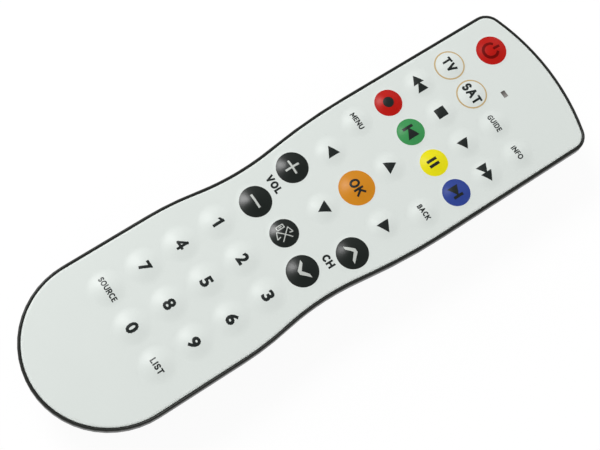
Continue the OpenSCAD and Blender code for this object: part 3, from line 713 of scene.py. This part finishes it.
# %% Letters
STEM = [(0, 0), (0, 1)]
LETTERS = {
    "A": (0.74, [[(0, 0), (0.5, 1), (1, 0)], [(0.22, 0.3), (0.78, 0.3)]]),
    "B": (0.6, [STEM, [(0, 1)] + bow(0.55, 0.77, 0.38, 0.23, 90, -90) + [(0, 0.54)],
                bow(0.55, 0.27, 0.45, 0.27, 90, -90) + [(0, 0)]]),
    "C": (0.64, [bow(0.62, 0.5, 0.62, 0.5, 58, 302, 12)]),
    "D": (0.68, [STEM, [(0, 1)] + bow(0.4, 0.5, 0.6, 0.5, 90, -90, 10) + [(0, 0)]]),
    "E": (0.5, [[(1, 1), (0, 1), (0, 0), (1, 0)], [(0, 0.52), (0.9, 0.52)]]),
    "F": (0.48, [[(1, 1), (0, 1), (0, 0)], [(0, 0.52), (0.9, 0.52)]]),
    "G": (0.7, [bow(0.6, 0.5, 0.6, 0.5, 55, 310, 12), [(0.98, 0.1), (0.98, 0.46), (0.6, 0.46)]]),
    "H": (0.68, [STEM, [(1, 0), (1, 1)], [(0, 0.52), (1, 0.52)]]),
    "I": (0.24, [[(0.5, 0), (0.5, 1)]]),
    "K": (0.66, [STEM, [(1, 1), (0.06, 0.42)], [(0.34, 0.6), (1, 0)]]),
    "L": (0.5, [[(0, 1), (0, 0), (1, 0)]]),
    "M": (0.86, [STEM, [(0, 1), (0.5, 0.3), (1, 1)], [(1, 1), (1, 0)]]),
    "N": (0.7, [STEM, [(0, 1), (1, 0)], [(1, 0), (1, 1)]]),
    "O": (0.78, [bow(0.5, 0.5, 0.5, 0.5, 0, 360, 18)]),
    "R": (0.62, [STEM, [(0, 1)] + bow(0.55, 0.74, 0.4, 0.26, 90, -90) + [(0, 0.48)],
                 [(0.5, 0.48), (1, 0)]]),
    "S": (0.55, [bow(0.5, 0.755, 0.48, 0.245, 30, 270, 9)
                 + bow(0.5, 0.255, 0.5, 0.255, 90, -150, 9)[1:]]),
    "T": (0.6, [[(0, 1), (1, 1)], [(0.5, 1), (0.5, 0)]]),
    "U": (0.68, [[(0, 1)] + bow(0.5, 0.4, 0.5, 0.4, 180, 360, 10) + [(1, 1)]]),
    "V": (0.7, [[(0, 1), (0.5, 0), (1, 1)]]),
    "4": (0.7, [[(0.74, 0), (0.74, 1), (0, 0.3), (1, 0.3)]]),
}
LETTER_GAP = 0.1


def lettering(word, width, height, weight):
    """Shapes of a word drawn with strokes of one weight, centred, its size and weight in mm."""
    unit = width / (sum(LETTERS[c][0] for c in word) + LETTER_GAP * (len(word) - 1))
    left = -width / 2
    shapes = []
    for c in word:
        room = LETTERS[c][0] * unit - weight
        for path in LETTERS[c][1]:
            laid = [(left + weight / 2 + u * room, (v - 0.5) * (height - weight)) for u, v in path]
            shapes += stroke(laid, weight, weight / 2)
        left += (LETTERS[c][0] + LETTER_GAP) * unit
    return shapes


print("letters:", len(LETTERS))

# %% [markdown]
# ## Words on the keys
# Each line of the list gives a key, its word, how far the word's middle lies from the key's middle, and
# the size as measured. The digit 4 is angular, so it is drawn with strokes like the letters.

# %% Words
# Key: word, its middle from the key's middle in X and Y, width, height and stroke, all in mm.
WORDS = {
    "tv": ("TV", 0, -0.2, 4.5, 2.95, 0.68),
    "sat": ("SAT", -0.15, 0, 6.7, 3.0, 0.66),
    "guide": ("GUIDE", -0.12, -0.03, 5.5, 1.7, 0.31),
    "info": ("INFO", -0.37, 0.1, 4.4, 1.65, 0.31),
    "menu": ("MENU", -0.03, 0.12, 5.4, 1.65, 0.32),
    "back": ("BACK", -0.05, 0.15, 4.9, 1.65, 0.34),
    "ok": ("OK", 0.08, 0.02, 5.1, 3.05, 0.64),
    "source": ("SOURCE", 0.38, 0.04, 7.5, 1.7, 0.32),
    "list": ("LIST", 0.4, -0.28, 4.7, 1.85, 0.38),
    "4": ("4", 0.42, 0.06, 2.75, 3.7, 0.72),
}
signs = {}
for key, (word, dx, dy, width, height, weight) in WORDS.items():
    signs[key] = (lettering(word, width, height, weight), dx, dy, "black")
signs.update(digit_signs)
print("words and digits:", len(signs))

# %% [markdown]
# ## Shapes of the signs: symbols
# The other keys carry the usual signs for playing, turning up and switching off. They are built from
# bars, triangles and strokes, with sizes in mm as measured on the keys.

# %% Symbol shapes
LEFT, RIGHT = -1, 1
DOWN, UP = -1, 1


def bar(x, y, width, height):
    """One upright rectangle round a middle point."""
    return [(x - width / 2, y - height / 2), (x + width / 2, y - height / 2),
            (x + width / 2, y + height / 2), (x - width / 2, y + height / 2)]


def pointer(x, width, height, way):
    """One triangle with its middle at x, which points to the left or to the right."""
    base = x - way * width / 2
    return [(base, -height / 2), (x + way * width / 2, 0), (base, height / 2)]


def chevron(way):
    """Two arms with a flat tip, which points up or down."""
    arm = [(0, 1.26), (0.58, 1.26), (2.95, -1.24), (1.85, -1.24), (0, 0.34)]
    return [[(side * px, way * py) for px, py in arm] for side in (RIGHT, LEFT)]


def power_sign():
    """An open ring with a bar in its gap."""
    gap_left = math.radians(125)
    gap_right = math.radians(55 + 360)
    ring = arc((0, -0.62), 2.18, gap_left, gap_right, steps=40)
    return stroke(ring, width=0.85) + [bar(0, 1.45, 0.75, 2.3)]


def mute_sign():
    """A loudspeaker in thin lines, crossed out."""
    line = 0.265
    shapes = stroke([(-2.42, -1), (-2.42, 1.17), (-1.38, 1.17), (-1.38, -1), (-2.42, -1)], line, line / 2)
    shapes += stroke([(-1.95, -0.4), (-1.95, 0.65)], line)
    shapes += stroke([(-0.95, 1.95), (0.9, 2.62), (0.65, 1.5)], line)
    shapes += stroke([(-1.2, -1.6), (0.8, -2.45), (0.55, -1.3)], line)
    shapes += stroke([(-0.95, 1.95), (2.1, -1.4)], line)
    shapes += stroke([(2.15, 1.75), (-1.2, -1.6)], line)
    return shapes


print("bars in the power sign:", len(power_sign()), "in the mute sign:", len(mute_sign()))

# %% [markdown]
# ## Symbols on the keys
# Each line gives a key, the shapes of its sign, how far the sign's middle lies from the key's middle in
# X and Y, and the ink. Signs on the big black keys are white, and the power key's sign is a darker red.

# %% Symbols
signs.update({
    "1": ([bar(0.38, 0, 0.87, 3.65), [(0.3, 1.825), (-0.85, 1.2), (-0.85, 0.5), (0.3, 0.95)]],
          0.3, 0.14, "black"),
    "power": (power_sign(), 0.15, 0.05, "dark_red"),
    "rewind": ([pointer(-1.28, 3.0, 3.5, LEFT), pointer(1.2, 3.0, 3.5, LEFT)], -0.1, -0.38, "black"),
    "stop": ([bar(0, 0, 3.12, 3.25)], -0.12, -0.22, "black"),
    "play": ([pointer(0, 3.15, 3.7, RIGHT)], 0.52, -0.28, "black"),
    "forward": ([pointer(-1.2, 3.05, 3.6, RIGHT), pointer(1.3, 3.05, 3.6, RIGHT)], -0.16, -0.15, "black"),
    "record": ([circle(0, 0, radius=1.6, count=32)], 0.16, -0.28, "black"),
    "previous": ([pointer(0.3, 3.4, 3.8, LEFT), bar(-1.4, 0, 0.9, 3.4)], -0.04, -0.2, "black"),
    "pause": ([bar(-0.77, 0, 0.88, 3.2), bar(0.77, 0, 0.88, 3.2)], 0.13, -0.26, "black"),
    "next": ([pointer(-0.28, 3.2, 3.45, RIGHT), bar(1.3, 0, 0.85, 3.1)], -0.16, -0.03, "black"),
    "up": ([[(-1.98, -1.7), (1.98, -1.7), (0, 1.75)]], -0.03, 0.49, "black"),
    "down": ([[(-1.98, 1.68), (1.98, 1.68), (0, -1.72)]], 0.28, -0.3, "black"),
    "left": ([pointer(0, 3.3, 3.8, LEFT)], 0.11, 0.11, "black"),
    "right": ([pointer(0, 3.5, 3.9, RIGHT)], 1.2, -0.04, "black"),
    "volume_up": ([bar(0, 0, 4.4, 0.6), bar(0, 0, 0.6, 4.4)], 0.32, 0.13, "white"),
    "volume_down": ([bar(0, 0, 4.46, 0.66)], 0.14, 0.26, "white"),
    "channel_up": (chevron(UP), 0.27, 0, "white"),
    "channel_down": (chevron(DOWN), 0.14, -0.12, "white"),
    "mute": (mute_sign(), 0.24, -0.1, "white"),
})
print("signs listed:", len(signs))

# %% [markdown]
# ## Printing
# Now every sign is moved to its key and laid on the dome. The two words between the rockers lie on the
# flat sheet, so they stay with the case.

# %% Printed signs
for key, (shapes, dx, dy, tone) in signs.items():
    x, y = keys["key_" + key][:2]
    shapes = [[(x + dx + px, y + dy + py) for px, py in shape] for shape in shapes]
    piece = lay_ink("sign_" + key, shapes, on_dome("key_" + key), inks[tone])
    sink(piece)
print("signs:", len(signs), "of", len(keys), "keys")

# %% Words between the rockers
WORD_WEIGHT = 0.57
SHEET_WORDS = (("VOL", -13.2, -1.6, 5.6, 2.3), ("CH", 13.47, -1.6, 3.95, 2.3))
for word, x, y, width, height in SHEET_WORDS:
    shapes = lettering(word, width, height, WORD_WEIGHT)
    shapes = [[(x + px, y + py) for px, py in shape] for shape in shapes]
    piece = lay_ink("sign_" + word.lower(), shapes, lambda px, py: SKIN_TOP, inks["black"])
    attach(piece, "case")
print("words on the sheet:", len(SHEET_WORDS))

# %% [markdown]
# ## Finishes of the case
# The case halves and the battery cover are black ABS, injection moulded. The rear is taken from a spark
# eroded mould, which leaves an even fine grain of about 0.1 mm, drawn at 0.35 mm so that it shows, and
# looks soft and dull. The front frame's rim comes from a smoother mould, so it keeps a clearer sheen.
# The infrared window is polycarbonate dyed so dark a red that it looks black, with polished faces.

# %% Case plastics
ABS = {"IOR": 1.53, "Specular_IOR_Level": 0.3}
grained_abs = plain_finish("black_abs_spark_eroded_grain", ("161817", "1b1d1c"), patch=9 * MM,
                           size=0.35 * MM, depth=0.02 * MM, rough=(0.42, 0.55), **ABS)
smooth_abs = plain_finish("black_abs_smooth_moulded", ("1b1d1a", "20221e"), patch=9 * MM,
                          size=0.3 * MM, depth=0.002 * MM, rough=(0.28, 0.36), **ABS)
smoked_window = plain_finish("dark_red_polycarbonate_polished", ("1a0508", "22070b"), patch=4 * MM,
                             size=0.5 * MM, depth=0.001 * MM, rough=(0.06, 0.1), IOR=1.585)
dress("rear_shell", grained_abs)
dress("battery_cover", grained_abs)
dress("front_frame", smooth_abs)
dress("infrared_window", smoked_window)
print("case finishes:", grained_abs.name, smooth_abs.name, smoked_window.name)

# %% [markdown]
# ## The light pipe
# A short bar of smoked acrylic leads the indicator light up through the sheet. Its polished end looks
# dark, but the pale body of the light shows dimly through one side of it. Real smoke and glow would
# need clear acrylic with a light below, and at this size a tone that runs from dark to grey looks the
# same.

# %% Light pipe
pipe_resin, tree, shader, place = new_finish("smoked_acrylic_light_pipe", IOR=1.49)
across = add(tree, "SeparateXYZ", None, None, {"Vector": place}).outputs["X"]
shine = add(tree, "MapRange", {"interpolation_type": "SMOOTHSTEP"},
            {"From Min": pipe_low.x, "From Max": pipe_high.x}, {"Value": across})
tone = add(tree, "Mix", {"data_type": "RGBA"},
           {COLOUR_A: srgb("55524f"), COLOUR_B: srgb("96938f")}, {FACTOR: shine.outputs["Result"]})
tree.links.new(tone.outputs[MIXED], shader.inputs["Base Color"])
grain(tree, shader, place, size=0.3 * MM, depth=0.001 * MM, rough=(0.2, 0.28))
dress("light_pipe", pipe_resin)
print("light pipe in mm:", [round(v / MM, 2) for v in pipe_high - pipe_low])

# %% [markdown]
# ## Smooth walls
# The solids come as flat facets, and on the round tail the light would show them as upright streaks.
# The moulded wall is smooth, so each solid that stays is welded, its real edges are marked crisp by
# their angle, and the shading between them is averaged by face area. Only the shading changes, and no
# point moves.

# %% Soft facets
CRISP_EDGE = math.radians(24)
WELD = 0.001 * MM
soft = bpy.data.node_groups.new("weld_and_mark_crisp_edges", "GeometryNodeTree")
for way in ("INPUT", "OUTPUT"):
    soft.interface.new_socket("Geometry", in_out=way, socket_type="NodeSocketGeometry")
solid = add(soft, "NodeGroupInput")
welded = add(soft, "GeometryNodeMergeByDistance", None, {"Distance": WELD},
             {"Geometry": solid.outputs[0]})
bend = add(soft, "GeometryNodeInputMeshEdgeAngle")
crisp = add(soft, "FunctionNodeCompare", {"operation": "GREATER_THAN"}, {"B": CRISP_EDGE},
            {"A": bend.outputs[0]})
shaded = add(soft, "GeometryNodeSetMeshNormal", None, {"Remove Custom": True},
             {"Mesh": welded.outputs[0], "Edge Sharpness": crisp.outputs[0]})
add(soft, "NodeGroupOutput", None, None, {"Geometry": shaded.outputs[0]})

smoothed = [name for name in nodes if not name.startswith("key_") and name != "keypad_skin"]
for name in smoothed:
    nodes[name].modifiers.new("weld_and_mark_crisp_edges", "NODES").node_group = soft
    even = nodes[name].modifiers.new("even_shading", "WEIGHTED_NORMAL")
    even.keep_sharp = True
print("solids with soft facets:", len(smoothed))

# %% [markdown]
# ## Finishes inside: metals
# With the cover off, the contacts show beside the cells. Contacts and springs are steel that was tinned
# and then drawn or bent, which looks bright and a little warm. Screws and the crystal's can are zinc
# plated, so they are cooler and duller. Both are metals, so the colour tints the reflection and the IOR
# stays as it is.

# %% Metals
tinned_steel = plain_finish("tinned_spring_steel", ("d2cfc6", "bdb9af"), patch=1.2 * MM,
                            size=0.25 * MM, depth=0.004 * MM, rough=(0.2, 0.34), Metallic=1)
zinc_steel = plain_finish("zinc_plated_screw_steel", ("b9bcc0", "9da1a8"), patch=0.9 * MM,
                          size=0.2 * MM, depth=0.005 * MM, rough=(0.28, 0.42), Metallic=1)
for name in ("positive_contact", "negative_contact", "bridge_contact"):
    dress(name, tinned_steel)
for name in ("case_screws", "crystal"):
    dress(name, zinc_steel)
print("metals:", tinned_steel.name, zinc_steel.name)

# %% [markdown]
# ## Finishes inside: cells
# A cell is a steel can in a jacket of plastic film, printed and shrunk on: dark and glossy, with a
# copper band at the button end, between bare bright ends. The can is one solid, so one finish changes
# along it, by the share of the length from the button end. The two cells lie head to tail.

# %% Cells
CELL_JACKET = (0.045, 0.985)
CELL_BAND = 0.27
BUTTON_END = {"cell_left": "low", "cell_right": "high"}
for name, button in BUTTON_END.items():
    low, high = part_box(name)
    near, far = (low.y, high.y) if button == "low" else (high.y, low.y)
    finish, tree, shader, place = new_finish("shrunk_jacket_over_steel_" + name, IOR=1.5)
    lengthwise = add(tree, "SeparateXYZ", None, None, {"Vector": place}).outputs["Y"]
    share = add(tree, "MapRange", None, {"From Min": near, "From Max": far}, {"Value": lengthwise})
    along = share.outputs["Result"]
    after = add(tree, "Math", {"operation": "GREATER_THAN"}, {1: CELL_JACKET[0]}, {0: along})
    before = add(tree, "Math", {"operation": "LESS_THAN"}, {1: CELL_JACKET[1]}, {0: along})
    jacket = add(tree, "Math", {"operation": "MULTIPLY"}, None,
                 {0: after.outputs[0], 1: before.outputs[0]})
    band = add(tree, "Math", {"operation": "LESS_THAN"}, {1: CELL_BAND}, {0: along})
    steel = add(tree, "Math", {"operation": "SUBTRACT"}, {0: 1}, {1: jacket.outputs[0]})
    film = add(tree, "Mix", {"data_type": "RGBA"},
               {COLOUR_A: srgb("23272b"), COLOUR_B: srgb("b4713c")}, {FACTOR: band.outputs[0]})
    tone = add(tree, "Mix", {"data_type": "RGBA"}, {COLOUR_B: srgb("c8c8c4")},
               {FACTOR: steel.outputs[0], COLOUR_A: film.outputs[MIXED]})
    tree.links.new(tone.outputs[MIXED], shader.inputs["Base Color"])
    tree.links.new(steel.outputs[0], shader.inputs["Metallic"])
    grain(tree, shader, place, size=0.8 * MM, depth=0.004 * MM, rough=(0.2, 0.32))
    dress(name, finish)
print("cells:", len(BUTTON_END))

# %% [markdown]
# ## Finishes inside: the board
# The board is glass laminate under green solder mask, over copper tracks that show as a paler net.
# Tracks could be drawn one by one, but the board is seen only when the remote is taken apart, and a
# brick pattern with uneven rows looks as busy. Real tracks are about 0.3 mm apart, too fine to show, so
# the rows are about 2 mm. Chips and transistor are moulded epoxy, dull and black, and so to the eye are
# the resistors of fired ceramic. The capacitor wears a shiny shrunk sleeve, the emitter is clear tinted
# epoxy cast in a polished mould, and the indicator light's milky epoxy looks pale.

# %% Board
TRACK_UNIT = 6 * MM
board_mask, tree, shader, place = new_finish("glass_laminate_with_solder_mask", IOR=1.5)
tracks = add(tree, "TexBrick", {"offset": 0.37, "squash": 1.6, "squash_frequency": 3},
             {"Color1": srgb("1d5a34"), "Color2": srgb("23653b"), "Mortar": srgb("3d8352"),
              "Scale": 1 / TRACK_UNIT, "Mortar Size": 0.03, "Brick Width": 0.9, "Row Height": 0.32},
             {"Vector": place})
tree.links.new(tracks.outputs["Color"], shader.inputs["Base Color"])
grain(tree, shader, place, size=0.5 * MM, depth=0.006 * MM, rough=(0.3, 0.4))
dress("circuit_board", board_mask)
print("finish:", board_mask.name)

# %% Parts on the board
PART_FINISH = {
    "controller_chip": ("moulded_epoxy_chip", ("1d1d1f", "28282a"), (0.5, 0.62)),
    "memory_chip": ("moulded_epoxy_memory", ("1d1d1f", "28282a"), (0.5, 0.62)),
    "transistor": ("moulded_epoxy_transistor", ("1f1f20", "2a2a2b"), (0.45, 0.6)),
    "chip_resistors": ("fired_ceramic_resistors", ("2a2a2e", "3a3a40"), (0.35, 0.5)),
    "capacitor": ("shrunk_sleeve_capacitor", ("1c2438", "25304a"), (0.25, 0.35)),
    "infrared_emitter": ("tinted_clear_epoxy_lens", ("2a2d48", "343858"), (0.06, 0.12)),
    "indicator_light": ("diffused_epoxy_light", ("e6dcc8", "d8cdb6"), (0.3, 0.4)),
}
for name, (label, tones, rough) in PART_FINISH.items():
    dress(name, plain_finish(label, tones, patch=1.5 * MM, size=0.25 * MM, depth=0.004 * MM,
                             rough=rough, IOR=1.5))
print("board parts:", len(PART_FINISH))

# %% [markdown]
# ## The light tent
# The photograph is a product picture on white paper. Such pictures are taken in a light tent: bright
# cloth all round and a darker top where the camera looks in. The cloth is less bright near the paper.
# The world takes the tent's place, and its strength depends only on how steeply one looks up. The tent
# gives a little over half of the light on a level surface.

# %% World
TENT_SIDE = 2.2
TENT_TOP = 0.24
TENT_SKIRT = 1.0
SIDE_TO_TOP = (0.23, 0.58)
SKIRT_RISE = 0.24
world = bpy.data.worlds.new("light_tent")
bpy.context.scene.world = world
world.use_nodes = True
tree = world.node_tree
way = add(tree, "TexCoord").outputs["Generated"]
rise = add(tree, "SeparateXYZ", None, None, {"Vector": way}).outputs["Z"]
tent = add(tree, "MapRange", {"interpolation_type": "SMOOTHSTEP"},
           {"From Min": SIDE_TO_TOP[0], "From Max": SIDE_TO_TOP[1],
            "To Min": TENT_SIDE, "To Max": TENT_TOP}, {"Value": rise})
skirt = add(tree, "MapRange", {"interpolation_type": "SMOOTHSTEP"},
            {"From Min": 0, "From Max": SKIRT_RISE, "To Min": TENT_SKIRT / TENT_SIDE, "To Max": 1},
            {"Value": rise})
level = add(tree, "Math", {"operation": "MULTIPLY"}, None,
            {0: tent.outputs["Result"], 1: skirt.outputs["Result"]})
background = tree.nodes["Background"]
background.inputs["Color"].default_value = srgb("ffffff")
tree.links.new(level.outputs[0], background.inputs["Strength"])
print("tent, side and top:", TENT_SIDE, TENT_TOP)

# %% [markdown]
# ## The lamp
# One large soft lamp gives the rest of the light, so a colour renders about as it is written. It is a
# disc, which gives the domes round highlights, and its power is worked out from its distance and slant,
# so that its share of the light is the named one.

# %% Key lamp
LAMP_SHARE = 0.43
LAMP_WAY = Vector((-0.62, -0.11, 0.8)).normalized()
LAMP_REACH = 0.8
LAMP_SIZE = 0.34
lamp_data = bpy.data.lights.new("soft_key", "AREA")
lamp_data.shape = "DISK"
lamp_data.size = LAMP_SIZE
lamp_data.energy = LAMP_SHARE * math.pi * math.pi * LAMP_REACH ** 2 / LAMP_WAY.z
lamp = bpy.data.objects.new("soft_key", lamp_data)
lamp.location = camera_aim + LAMP_WAY * LAMP_REACH
lamp.rotation_mode = "QUATERNION"
lamp.rotation_quaternion = (-LAMP_WAY).to_track_quat("-Z", "Y")
bpy.context.scene.collection.objects.link(lamp)
print("lamp power in W:", round(lamp_data.energy, 2))

# %% [markdown]
# ## The paper
# For the eye and for reflections the paper is part matt grey and part glow, which together come to
# plain white, so the soft shadow at the object's foot stays, nearly as faint as in the picture. For all
# other light it is ordinary matt paper, and the object gets no more light from it. From below it is
# clear, so that the underside can be looked at.

# %% Floor
FLOOR_HALF = 3.0
FLOOR_DROP = 0.02 * MM
FLOOR_GLOW = 0.935
floor_mesh = bpy.data.meshes.new("paper_floor")
floor_mesh.from_pydata([(-FLOOR_HALF, -FLOOR_HALF, 0), (FLOOR_HALF, -FLOOR_HALF, 0),
                        (FLOOR_HALF, FLOOR_HALF, 0), (-FLOOR_HALF, FLOOR_HALF, 0)], [], [(0, 1, 2, 3)])
floor = bpy.data.objects.new("paper_floor", floor_mesh)
floor.location.z = cad_low.z - FLOOR_DROP
bpy.context.scene.collection.objects.link(floor)
print("floor at, in mm:", round(floor.location.z / MM, 2))

# %% Paper
paper = bpy.data.materials.new("matt_white_paper")
paper.use_nodes = True
tree = paper.node_tree
tree.nodes.remove(tree.nodes["Principled BSDF"])
ray = add(tree, "LightPath")
seen = add(tree, "Math", {"operation": "MAXIMUM"}, None,
           {0: ray.outputs["Is Camera Ray"], 1: ray.outputs["Is Glossy Ray"]})
seen = add(tree, "Math", {"operation": "MAXIMUM"}, None,
           {0: seen.outputs[0], 1: ray.outputs["Is Transmission Ray"]})
matt = add(tree, "BsdfDiffuse", None, {"Color": srgb("f2f2f0")})
dim = add(tree, "BsdfDiffuse", None, {"Color": srgb("4f4f4f")})
glow = add(tree, "Emission", None, {"Color": srgb("ffffff"), "Strength": FLOOR_GLOW})
eye = add(tree, "AddShader", None, None, {0: dim.outputs[0], 1: glow.outputs[0]})
both = add(tree, "MixShader", None, None, {0: seen.outputs[0], 1: matt.outputs[0], 2: eye.outputs[0]})
under = add(tree, "NewGeometry").outputs["Backfacing"]
clear = add(tree, "BsdfTransparent")
sided = add(tree, "MixShader", None, None, {0: under, 1: both.outputs[0], 2: clear.outputs[0]})
tree.links.new(sided.outputs[0], tree.nodes["Material Output"].inputs["Surface"])
floor_mesh.materials.append(paper)
print("floor glow for the eye:", FLOOR_GLOW)
